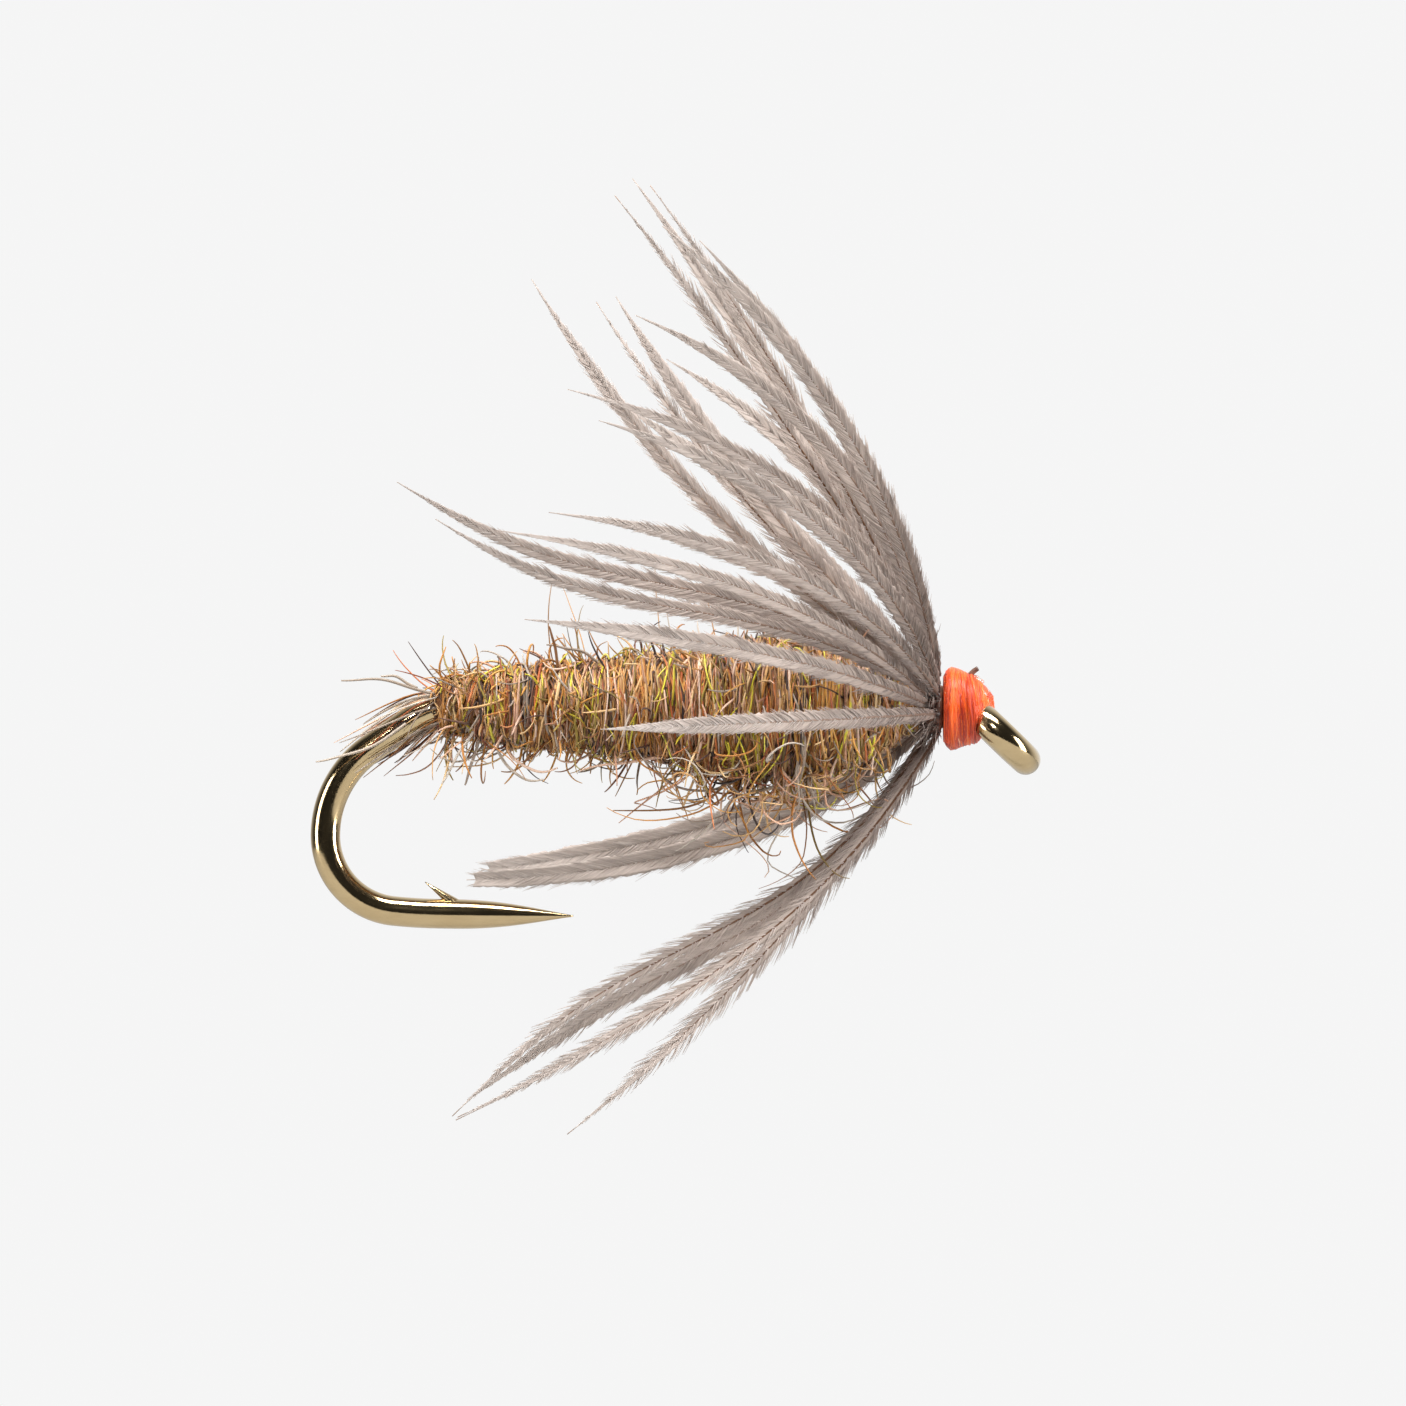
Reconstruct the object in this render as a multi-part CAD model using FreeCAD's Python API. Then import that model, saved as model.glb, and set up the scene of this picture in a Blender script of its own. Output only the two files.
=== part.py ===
import FreeCAD, Part
import math
import os

# Soft-hackle fishing fly on a turned-down-eye hook.
# Millimetres, +Z up, +X toward the eye, origin at the centre of the eye's hole.

V = FreeCAD.Vector

# --- hook ---
WIRE_R = 0.265           # wire radius
SHANK_Z = 0.534          # height of the shank's centre line above the eye hole
EYE_TILT = 44.0          # how far the eye turns down from the shank, degrees
EYE_MEAN_R = 0.585       # ring radius to the middle of its wire
EYE_WIRE_R = 0.27        # ring wire radius
EYE_BORE_R = 0.33        # radius of the hole the tippet passes through
NECK_R = 0.40            # bend radius between shank and eye
BEND_START_X = -9.65     # where the shank ends and the bend begins
BEND = [                 # (kind, radius or length, degrees turned)
    ("arc", 1.60, 34.0),
    ("line", 0.80, 0.0),
    ("arc", 1.89, 56.0),
    ("arc", 1.35, 84.0),
    ("arc", 9.00, 5.0),
    ("line", 0.30, 0.0),
]
POINT_LENGTH = 2.12      # tapered part of the point
POINT_PROFILE = [(0.0, 1.0), (0.30, 0.90), (0.60, 0.60), (0.85, 0.25), (1.0, 0.05)]
HOOK_BARB_BACK = 0.46    # how far the cut barb reaches back from its root
HOOK_BARB_UP = 0.30      # how far its tip stands above the wire
HOOK_BARB_WIDE = 0.26    # how wide it is at its root
HOOK_BARB_ROOT = 0.02    # how far its root lies past the start of the point
HOOK_BARB_LONG = 0.30    # length of its root along the wire

# --- thread and body, all wound about the shank ---
UNDERWRAP_R = 0.30       # outside radius of the thread under the fur
UNDERWRAP_X = (-9.60, -1.04)
ABDOMEN = [
    (-10.16, 0.30), (-9.90, 0.46), (-9.40, 0.60), (-8.90, 0.69),
    (-8.05, 0.78), (-7.15, 0.83), (-6.26, 0.94), (-5.60, 1.02),
]
THORAX = [
    (-5.60, 1.02), (-5.10, 1.13), (-4.49, 1.22), (-3.60, 1.22), (-2.95, 1.12),
    (-2.40, 0.92), (-2.00, 0.72), (-1.65, 0.52), (-1.44, 0.36),
]
WIND_PITCH = 0.30        # spacing of the dubbing's windings
WIND_DEPTH = 0.022       # how deep the valley between two windings is
COLLAR = [
    (-1.03, 0.54), (-0.99, 0.64), (-0.91, 0.69), (-0.80, 0.67), (-0.68, 0.62), (-0.56, 0.595),
]
COLLAR_DROP = 0.030      # the thread collar sits this much low on the shank
NOSE = [
    (-0.56, 0.585), (-0.49, 0.57), (-0.40, 0.49), (-0.31, 0.38), (-0.22, 0.28), (-0.14, 0.18),
]
NOSE_TILT = -4.0         # the front of the head leans up by this, degrees
STUB_R = 0.055           # trimmed end of the hackle's stem
STUB_FROM = V(-0.64, -0.12, 1.00)
STUB_TO = V(-0.43, -0.17, 1.22)

# --- hackle ---
TURN_X = (-1.13, -1.31)  # the two turns of the hackle's stem
TURN_MEAN_R = 0.40       # radius of a turn to the middle of the stem
TURN_WIRE_R = 0.08       # half thickness of the stem
ROOT_R = 0.485           # radius at which every fibre leaves the stem
FIBRE_WIDE = 0.21        # half width at the widest place
FIBRE_THIN = 0.070       # half thickness there
FIBRE_SIDES = 8          # corners of a fibre's section
FIBRE_STEPS = 14         # lengths between sections
# share of the length, share of the half width, share of the half thickness
FIBRE_SECTIONS = [
    (0.00, 0.22, 0.64), (0.06, 0.30, 0.70), (0.16, 0.62, 0.85), (0.32, 0.92, 1.0),
    (0.52, 1.0, 1.0), (0.72, 0.86, 0.90), (0.86, 0.52, 0.66), (0.95, 0.24, 0.40),
    (1.0, 0.09, 0.20),
]
# One line per fibre.  turn: which turn of the stem it leaves.
# root, lean: degrees about the shank (0 near side, 90 up) at its root and of its own plane.
# back, out: how far the tip lies behind and outside the root.  bow, wave: how it curves.
FIBRES = [
    # turn, root, lean, back, out, bow, wave
    (0, -14, -2, 5.95, 7.60, 0.30, 0.00),
    (1, 4, 13, 7.10, 6.60, 0.90, 0.00),
    (1, 20, 24, 7.55, 7.10, 1.15, 0.00),
    (0, 22, 30, 6.87, 6.40, 1.35, 0.00),
    (1, 36, 42, 8.70, 4.50, -0.10, 0.35),
    (0, 36, 40, 6.00, 7.30, 1.20, 0.00),
    (1, 52, 48, 9.38, 4.80, 0.00, 0.34),
    (0, 47, 46, 6.55, 7.20, 1.35, 0.00),
    (0, 58, 56, 4.90, 9.60, 0.95, 0.00),
    (1, 66, 61, 5.20, 7.35, 1.25, 0.00),
    (0, 69, 68, 4.25, 8.35, 0.65, 0.00),
    (0, 80, 80, 5.75, 8.70, 0.25, 0.00),
    (0, 91, 86, 5.13, 8.80, 0.30, 0.00),
    (0, 102, 95, 5.45, 9.00, 0.25, 0.00),
    (1, 90, 97, 5.57, 6.90, -0.28, 0.00),
    (1, 103, 102, 7.08, 7.35, -0.60, 0.00),
    (1, 117, 108, 5.93, 7.20, -0.33, 0.00),
    (0, 126, 120, 4.85, 6.80, 0.80, 0.00),
    (1, 136, 132, 5.60, 7.00, 0.50, 0.00),
    (0, 147, 147, 6.00, 5.70, 0.90, 0.00),
    (1, 158, 158, 6.60, 6.20, 0.90, 0.00),
    (0, 172, 172, 5.60, 6.70, 1.00, 0.00),
    (1, 186, 186, 6.40, 6.20, 0.80, 0.00),
    (0, 200, 204, 8.25, 6.95, 1.15, 0.00),
    (1, 212, 214, 8.30, 5.15, 1.38, 0.00),
    (1, 249, 256, 8.24, 6.80, 0.66, 0.30),
    (0, 260, 267, 8.60, 6.90, 0.80, 0.10),
    (1, 267, 273, 8.47, 6.80, 0.32, 0.36),
    (0, 276, 277, 6.60, 7.15, 0.38, 0.00),
    (0, 290, 284, 8.53, 7.00, 0.87, 0.10),
]

# --- loose fibres of the body ---
HAIR_R = 0.024           # half thickness of a loose fibre
HAIR_GAP = 0.012         # a loose fibre starts this far off the wound body
HAIR_SIDES = 6
HAIR_STEPS = 8
TAIL_R = 0.034           # half thickness of a tail fibre
TAIL_START = 20.5        # degrees around the bend at which the tail fibres come out
# around, start x, length, how far it stands off, curl back
HAIRS_TOP = [
    (95, -9.95, 1.30, 0.55, 0.9), (80, -9.20, 0.90, 0.50, -0.6), (100, -8.50, 1.00, 0.60, 0.5),
    (70, -7.80, 1.20, 0.70, 0.8), (110, -7.30, 0.90, 0.55, -0.7), (88, -6.70, 1.10, 0.75, 0.6),
    (60, -6.10, 1.00, 0.60, 0.9), (104, -5.35, 1.10, 0.70, -0.5), (84, -4.60, 1.20, 0.80, 0.7),
    (118, -4.00, 1.00, 0.60, 0.5),
]
HAIRS_UNDER = [
    (275, -9.70, 1.50, 0.80, 0.9), (255, -9.10, 1.10, 0.70, -0.5), (290, -8.30, 1.40, 0.80, 0.8),
    (262, -7.50, 1.30, 0.60, 0.7), (280, -6.80, 1.20, 0.90, -0.4), (250, -6.20, 1.00, 0.80, 0.6),
    (272, -5.60, 1.50, 1.00, 0.5), (292, -5.20, 1.40, 1.10, -0.6), (258, -4.85, 1.50, 1.20, 0.7),
    (280, -4.30, 1.60, 1.10, 0.4), (298, -3.90, 1.20, 0.90, 0.7), (244, -3.55, 1.20, 0.90, -0.5),
    (268, -3.10, 1.30, 0.90, 0.6),
]
FLASH = [
    (60, -8.90, 1.10, 0.30, 0.6), (40, -7.05, 1.30, 0.30, 0.8), (75, -5.90, 1.40, 0.32, 0.7),
    (300, -6.40, 1.10, 0.45, 0.5), (285, -3.35, 1.30, 0.80, -0.5), (322, -4.80, 1.10, 0.40, 0.6),
]
# Tail fibres: around the wire, how far along the bend they reach, how far they splay
TAIL = [
    (0, 2.1, 0.10), (40, 1.7, 0.22), (85, 1.5, 0.30), (130, 1.9, 0.16),
    (180, 2.2, 0.12), (225, 1.6, 0.24), (270, 2.0, 0.30), (315, 1.8, 0.20),
]


def unit(v):
    """v scaled to length one."""
    return v * (1.0 / v.Length)


def around(deg):
    """Outward direction at an angle about the shank: 0 is the near side, 90 is up."""
    a = math.radians(deg)
    return V(0, -math.cos(a), math.sin(a))


def save(name, shape):
    """One STEP file per part."""
    if not shape.isValid():
        raise ValueError(name + " is not a valid shape")
    shape.exportStep("parts/" + name + ".step")


def single(shape):
    """The only solid of a shape."""
    solids = sorted(shape.Solids, key=lambda s: -s.Volume)
    return solids[0]


def heading(deg):
    """Direction in the hook's own plane."""
    a = math.radians(deg)
    return V(math.cos(a), 0, math.sin(a))


def bend_edges(at, angle):
    """The hook's centre line from the end of the shank to the start of its point."""
    edges = []
    for kind, size, turn in BEND:
        if kind == "line":
            end = at + heading(angle) * size
            edges.append(Part.LineSegment(at, end).toShape())
        else:
            centre = at + heading(angle + 90) * size
            middle = centre + heading(angle - 90 + turn / 2) * size
            angle += turn
            end = centre + heading(angle - 90) * size
            edges.append(Part.Arc(at, middle, end).toShape())
        at = end
    return edges, at, angle


def neck_edge():
    """The short bend that turns the wire down into the eye."""
    t = math.radians(EYE_TILT)
    z = SHANK_Z - NECK_R * (1 - math.cos(t))
    end = V(-z / math.tan(t), 0, z)
    start = V(end.x - NECK_R * math.sin(t), 0, SHANK_Z)
    centre = V(start.x, 0, SHANK_Z - NECK_R)
    middle = centre + heading(90 - EYE_TILT / 2) * NECK_R
    return Part.Arc(end, middle, start).toShape(), end, start


def revolve(profile, origin, axis, side):
    """Solid of revolution from (along, radius) pairs, its outer edge a smooth curve."""
    pts = [origin + axis * x + side * r for x, r in profile]
    curve = Part.BSplineCurve()
    curve.interpolate(pts)
    low = origin + axis * profile[0][0]
    high = origin + axis * profile[-1][0]
    edges = [
        Part.LineSegment(low, pts[0]).toShape(),
        curve.toShape(),
        Part.LineSegment(pts[-1], high).toShape(),
        Part.LineSegment(high, low).toShape(),
    ]
    face = Part.Face(Part.Wire(edges))
    return face.revolve(origin, axis, 360)


def hook_point(at, angle):
    """The needle point as a solid of revolution."""
    profile = [(u * POINT_LENGTH, r * WIRE_R) for u, r in POINT_PROFILE]
    return revolve(profile, at, heading(angle), heading(angle + 90))


def polygon(points):
    """Closed wire through points."""
    return Part.makePolygon(points + [points[0]])


def hook_barb(at, angle):
    """The barb: a thin sliver lifted from the top of the wire, pointing back."""
    along = heading(angle)
    up = heading(angle + 90)
    w = HOOK_BARB_WIDE / 2
    side = V(0, 1, 0)
    foot = at + along * HOOK_BARB_ROOT + up * (WIRE_R - 0.07)
    tip = at + along * (HOOK_BARB_ROOT - HOOK_BARB_BACK) + up * (WIRE_R + HOOK_BARB_UP)
    low = [foot - side * w, foot + side * w,
           foot + along * HOOK_BARB_LONG + side * w, foot + along * HOOK_BARB_LONG - side * w]
    high = [tip - side * w * 0.3, tip + side * w * 0.3,
            tip + along * 0.05 + up * 0.01 + side * w * 0.3,
            tip + along * 0.05 + up * 0.01 - side * w * 0.3]
    return Part.makeLoft([polygon(low), polygon(high)], True, True)


def build_hook():
    """Eye ring, neck, shank, bend, point and barb as one solid."""
    neck, neck_end, shank_start = neck_edge()
    shank_end = V(BEND_START_X, 0, SHANK_Z)
    shank = Part.LineSegment(shank_start, shank_end).toShape()
    bend, last, angle = bend_edges(shank_end, 180.0)
    path = Part.Wire([neck, shank] + bend)
    disc = Part.Wire(Part.makeCircle(WIRE_R, neck_end, V(1, 0, -math.tan(math.radians(EYE_TILT)))))
    wire = path.makePipeShell([disc], True, False)
    normal = heading(90 - EYE_TILT)
    ring = Part.makeTorus(EYE_MEAN_R, EYE_WIRE_R, V(0, 0, 0), normal)
    knuckle = Part.makeSphere(WIRE_R, neck_end, V(0, 1, 0))
    body = wire.fuse([knuckle, ring, hook_point(last, angle), hook_barb(last, angle)])
    bore = Part.makeCylinder(EYE_BORE_R, 4.0, normal * -2.0, normal)
    return single(body.cut(bore).removeSplitter()), normal


def wound(profile):
    """A body profile with shallow valleys between its windings."""
    first = profile[0][0]
    last = profile[-1][0]
    count = int(round((last - first) / (WIND_PITCH / 2)))
    out = []
    for i in range(count + 1):
        x = first + (last - first) * i / count
        out.append((x, body_radius(profile, x) - (WIND_DEPTH if i % 2 else 0.0)))
    return out


def body_radius(profile, x):
    """Radius of a profile at x, read along straight lines."""
    for (xa, ra), (xb, rb) in zip(profile, profile[1:]):
        if xa <= x <= xb:
            return ra + (rb - ra) * (x - xa) / (xb - xa)
    return profile[0][1] if x < profile[0][0] else profile[-1][1]


def tube(outer, inner_r):
    """A wound body with a straight bore for what lies under it."""
    axis_at = V(0, 0, SHANK_Z)
    solid = revolve(outer, axis_at, V(1, 0, 0), V(0, 0, 1))
    low = outer[0][0]
    high = outer[-1][0]
    core = Part.makeCylinder(inner_r, high - low + 2, V(low - 1, 0, SHANK_Z), V(1, 0, 0))
    return single(solid.cut(core))


def build_underwrap():
    """Thin layer of thread wound on the shank."""
    low, high = UNDERWRAP_X
    outer = Part.makeCylinder(UNDERWRAP_R, high - low, V(low, 0, SHANK_Z), V(1, 0, 0))
    inner = Part.makeCylinder(WIRE_R, high - low, V(low, 0, SHANK_Z), V(1, 0, 0))
    return single(outer.cut(inner))


def build_abdomen(hook, underwrap):
    """Rear of the body, tapering onto the start of the bend."""
    solid = revolve(wound(ABDOMEN), V(0, 0, SHANK_Z), V(1, 0, 0), V(0, 0, 1))
    return single(solid.cut(hook.fuse(underwrap)))


def build_collar(hook):
    """Bulging wraps of thread that hold the hackle."""
    solid = revolve(COLLAR, V(0, 0, SHANK_Z - COLLAR_DROP), V(1, 0, 0), V(0, 0, 1))
    return single(solid.cut(hook))


def build_nose(hook, collar, normal):
    """Front wraps of thread, leaning toward the eye and clear of its hole."""
    solid = revolve(NOSE, V(0, 0, SHANK_Z - COLLAR_DROP), V(1, 0, 0), V(0, 0, 1))
    solid.rotate(V(NOSE[0][0], 0, SHANK_Z - COLLAR_DROP), V(0, 1, 0), NOSE_TILT)
    keep_out = Part.makeCylinder(EYE_BORE_R + 0.05, 4.0, normal * -2.0, normal)
    return single(solid.cut([hook, collar, keep_out]))


def build_stub(collar, nose):
    """The hackle's trimmed stem, standing out of the thread."""
    way = STUB_TO - STUB_FROM
    rod = Part.makeCone(STUB_R, STUB_R * 0.8, way.Length, STUB_FROM, unit(way))
    return single(rod.cut([collar, nose]))


def build_turns():
    """The hackle's stem, wound twice around the thread base."""
    rings = []
    for x in TURN_X:
        rings.append(Part.makeTorus(TURN_MEAN_R, TURN_WIRE_R, V(x, 0, SHANK_Z), V(1, 0, 0)))
    foot = Part.makeCylinder(TURN_MEAN_R, TURN_X[0] - TURN_X[1] + 0.10,
                             V(TURN_X[1] - 0.05, 0, SHANK_Z), V(1, 0, 0))
    core = Part.makeCylinder(UNDERWRAP_R, 2.0, V(TURN_X[1] - 1, 0, SHANK_Z), V(1, 0, 0))
    return single(foot.fuse(rings).cut(core))


def fibre_point(fibre, t):
    """A place along a hackle fibre's middle line, t from 0 at the root to 1 at the tip."""
    turn, root, lean, back, out, bow, wave = fibre
    slope = math.atan2(out, back)
    shift = bow * 4 * t * (1 - t) + wave * math.sin(2 * math.pi * t)
    along = -back * t + shift * math.sin(slope)
    away = out * t + shift * math.cos(slope)
    base = V(TURN_X[turn], 0, SHANK_Z) + around(root) * ROOT_R
    return base + V(along, 0, 0) + around(lean) * away


def skin(rings):
    """Closed solid of flat faces through rings that each have the same number of corners."""
    faces = []
    n = len(rings[0])
    for low, high in zip(rings, rings[1:]):
        for k in range(n):
            m = (k + 1) % n
            faces.append(flat([low[k], low[m], high[k]]))
            faces.append(flat([low[m], high[m], high[k]]))
    for ring in (rings[0], rings[-1]):
        for k in range(1, n - 1):
            faces.append(flat([ring[0], ring[k], ring[k + 1]]))
    solid = Part.Solid(Part.Shell(faces))
    if solid.Volume < 0:
        solid.reverse()
    return solid


def flat(points):
    """Flat face through points."""
    return Part.Face(polygon(points))


def share(table, t, column):
    """A column of a table of sections, read at t along straight lines."""
    for low, high in zip(table, table[1:]):
        if low[0] <= t <= high[0]:
            return low[column] + (high[column] - low[column]) * (t - low[0]) / (high[0] - low[0])
    return table[-1][column]


def fibre_ring(fibre, t):
    """Corners of a fibre's flattened section at t; its broad face looks to the fly's side."""
    at = fibre_point(fibre, t)
    ahead = unit(fibre_point(fibre, min(1.0, t + 0.01)) - fibre_point(fibre, max(0.0, t - 0.01)))
    broad = unit(V(-ahead.z, 0, ahead.x))
    broad = unit(broad - ahead * broad.dot(ahead))
    thin = ahead.cross(broad)
    half_w = FIBRE_WIDE * share(FIBRE_SECTIONS, t, 1)
    half_t = FIBRE_THIN * share(FIBRE_SECTIONS, t, 2)
    out = []
    for k in range(FIBRE_SIDES):
        a = 2 * math.pi * k / FIBRE_SIDES
        out.append(at + broad * (half_w * math.cos(a)) + thin * (half_t * math.sin(a)))
    return out


def build_fibre(fibre):
    """One hackle fibre, from its root on the stem to its tip."""
    steps = FIBRE_STEPS
    return skin([fibre_ring(fibre, i / steps) for i in range(steps + 1)])


def hair_rod(points, radius):
    """A fibre of even thickness that curves through points."""
    curve = Part.BSplineCurve()
    curve.interpolate(points)
    rings = []
    for i in range(HAIR_STEPS + 1):
        u = curve.FirstParameter + (curve.LastParameter - curve.FirstParameter) * i / HAIR_STEPS
        at = curve.value(u)
        ahead = unit(curve.tangent(u)[0])
        one = unit(ahead.cross(V(0.31, 0.83, 0.46)))
        two = ahead.cross(one)
        ring = []
        for k in range(HAIR_SIDES):
            a = 2 * math.pi * k / HAIR_SIDES
            ring.append(at + one * (radius * math.cos(a)) + two * (radius * math.sin(a)))
        rings.append(ring)
    return skin(rings)


def build_hairs(rows):
    """Loose fibres that leave the body, stand off and curl."""
    out = []
    for deg, x, length, off, curl in rows:
        profile = ABDOMEN if x < ABDOMEN[-1][0] else THORAX
        side = around(deg)
        turn = around(deg + 90)
        start = V(x, 0, SHANK_Z) + side * (body_radius(profile, x) + HAIR_GAP)
        middle = start + side * (off * 0.8) + V(-length * 0.25, 0, 0) + turn * 0.12
        far = start + side * off + V(-length * 0.7, 0, 0) + turn * 0.30
        end = start + side * (off * (1 - curl * 0.45) + 0.10) + V(-length, 0, 0) + turn * 0.55
        out.append(hair_rod([start, middle, far, end], HAIR_R))
    return Part.makeCompound(out)


def build_tail():
    """Fibre ends bound in at the rear, lying back along the bend."""
    radius = BEND[0][1]
    centre = V(BEND_START_X, 0, SHANK_Z - radius)
    out = []
    for deg, length, splay in TAIL:
        points = []
        for k in range(4):
            u = k / 3
            spoke = heading(90 + TAIL_START + math.degrees(length * u / radius * 0.62))
            across = V(0, -math.cos(math.radians(deg)), 0) + spoke * math.sin(math.radians(deg))
            lift = WIRE_R + TAIL_R + 0.02 + splay * u * u * 1.4
            points.append(centre + spoke * radius + across * lift)
        out.append(hair_rod(points, TAIL_R))
    return Part.makeCompound(out)


def main():
    """Build every part and write it."""
    os.makedirs("parts", exist_ok=True)
    hook, normal = build_hook()
    save("hook", hook)
    underwrap = build_underwrap()
    save("thread_underwrap", underwrap)
    abdomen = build_abdomen(hook, underwrap)
    save("dubbing_abdomen", abdomen)
    thorax = tube(wound(THORAX), UNDERWRAP_R)
    save("dubbing_thorax", thorax)
    save("guard_hairs_top", build_hairs(HAIRS_TOP))
    save("guard_hairs_under", build_hairs(HAIRS_UNDER))
    save("flash_fibres", build_hairs(FLASH))
    save("tail_fibres", build_tail())
    collar = build_collar(hook)
    save("thread_collar", collar)
    nose = build_nose(hook, collar, normal)
    save("thread_nose", nose)
    save("hackle_stem_end", build_stub(collar, nose))
    save("hackle_stem_turns", build_turns())
    for i, fibre in enumerate(FIBRES):
        save("hackle_fibre_%02d" % (i + 1), build_fibre(fibre))


main()
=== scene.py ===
import math

import bpy
import numpy as np
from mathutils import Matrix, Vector


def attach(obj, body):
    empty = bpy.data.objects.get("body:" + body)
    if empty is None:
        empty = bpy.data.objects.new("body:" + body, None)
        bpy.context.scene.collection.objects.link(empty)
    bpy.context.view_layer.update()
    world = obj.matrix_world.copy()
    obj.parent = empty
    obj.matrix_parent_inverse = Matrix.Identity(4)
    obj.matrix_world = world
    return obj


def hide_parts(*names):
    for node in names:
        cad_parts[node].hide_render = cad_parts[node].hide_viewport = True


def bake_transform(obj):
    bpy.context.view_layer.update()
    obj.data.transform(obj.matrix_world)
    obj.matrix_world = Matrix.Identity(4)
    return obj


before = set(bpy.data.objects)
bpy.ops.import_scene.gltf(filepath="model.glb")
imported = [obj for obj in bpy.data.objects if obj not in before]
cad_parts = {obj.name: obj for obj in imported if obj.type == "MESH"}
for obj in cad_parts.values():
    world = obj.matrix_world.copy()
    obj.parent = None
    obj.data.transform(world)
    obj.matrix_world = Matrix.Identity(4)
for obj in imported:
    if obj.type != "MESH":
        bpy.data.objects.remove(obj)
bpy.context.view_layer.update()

MM = 0.001
RNG = np.random.default_rng(41)
BODY = "fly_body"
TAU = 2 * np.pi

# ---- sizes shared with the CAD model, millimetres ----
WIRE_R = 0.265
SHANK_Z = 0.534
EYE_TILT = 44.0
EYE_MEAN_R = 0.585
EYE_WIRE_R = 0.27
EYE_BORE_R = 0.33
NECK_R = 0.40
BEND_START_X = -9.65
BEND = [("arc", 1.60, 34.0), ("line", 0.80, 0.0), ("arc", 1.89, 56.0),
        ("arc", 1.35, 84.0), ("arc", 9.00, 5.0), ("line", 0.30, 0.0)]
POINT_LENGTH = 2.12
# share of the point's length, and its thickness against the wire's
POINT_PROFILE = [(0.0, 1.0), (0.30, 0.90), (0.60, 0.60), (0.85, 0.25), (1.0, 0.05)]
# x and radius of the wound fur
ABDOMEN = [(-10.16, 0.30), (-9.90, 0.46), (-9.40, 0.60), (-8.90, 0.69),
           (-8.05, 0.78), (-7.15, 0.83), (-6.26, 0.94), (-5.60, 1.02)]
THORAX = [(-5.60, 1.02), (-5.10, 1.13), (-4.49, 1.22), (-3.60, 1.22), (-2.95, 1.12),
          (-2.40, 0.92), (-2.00, 0.72), (-1.65, 0.52), (-1.44, 0.36)]
# x and radius of the thread
COLLAR = [
    (-1.03, 0.54), (-0.99, 0.64), (-0.91, 0.69), (-0.80, 0.67), (-0.68, 0.62), (-0.56, 0.595),
]
COLLAR_DROP = 0.030
NOSE = [
    (-0.56, 0.585), (-0.49, 0.57), (-0.40, 0.49), (-0.31, 0.38), (-0.22, 0.28), (-0.14, 0.18),
]
NOSE_TILT = -4.0
TURN_X = (-1.13, -1.31)
TURN_MEAN_R = 0.40
TURN_WIRE_R = 0.08
ROOT_R = 0.485
# each fibre's turn of the stem, root and lean in degrees round the shank, reach back and out, bow
# and wave
FIBRES = [
    (0, -14, -2, 5.95, 7.60, 0.30, 0.00),
    (1, 4, 13, 7.10, 6.60, 0.90, 0.00),
    (1, 20, 24, 7.55, 7.10, 1.15, 0.00),
    (0, 22, 30, 6.87, 6.40, 1.35, 0.00),
    (1, 36, 42, 8.70, 4.50, -0.10, 0.35),
    (0, 36, 40, 6.00, 7.30, 1.20, 0.00),
    (1, 52, 48, 9.38, 4.80, 0.00, 0.34),
    (0, 47, 46, 6.55, 7.20, 1.35, 0.00),
    (0, 58, 56, 4.90, 9.60, 0.95, 0.00),
    (1, 66, 61, 5.20, 7.35, 1.25, 0.00),
    (0, 69, 68, 4.25, 8.35, 0.65, 0.00),
    (0, 80, 80, 5.75, 8.70, 0.25, 0.00),
    (0, 91, 86, 5.13, 8.80, 0.30, 0.00),
    (0, 102, 95, 5.45, 9.00, 0.25, 0.00),
    (1, 90, 97, 5.57, 6.90, -0.28, 0.00),
    (1, 103, 102, 7.08, 7.35, -0.60, 0.00),
    (1, 117, 108, 5.93, 7.20, -0.33, 0.00),
    (0, 126, 120, 4.85, 6.80, 0.80, 0.00),
    (1, 136, 132, 5.60, 7.00, 0.50, 0.00),
    (0, 147, 147, 6.00, 5.70, 0.90, 0.00),
    (1, 158, 158, 6.60, 6.20, 0.90, 0.00),
    (0, 172, 172, 5.60, 6.70, 1.00, 0.00),
    (1, 186, 186, 6.40, 6.20, 0.80, 0.00),
    (0, 200, 204, 8.25, 6.95, 1.15, 0.00),
    (1, 212, 214, 8.30, 5.15, 1.38, 0.00),
    (1, 249, 256, 8.24, 6.80, 0.66, 0.30),
    (0, 260, 267, 8.60, 6.90, 0.80, 0.10),
    (1, 267, 273, 8.47, 6.80, 0.32, 0.36),
    (0, 276, 277, 6.60, 7.15, 0.38, 0.00),
    (0, 290, 284, 8.53, 7.00, 0.87, 0.10),
]


# ---- mesh helpers ----
def norm(v):
    """v scaled to length one along its last axis."""
    return v / np.maximum(np.linalg.norm(v, axis=-1, keepdims=True), 1e-12)


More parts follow.
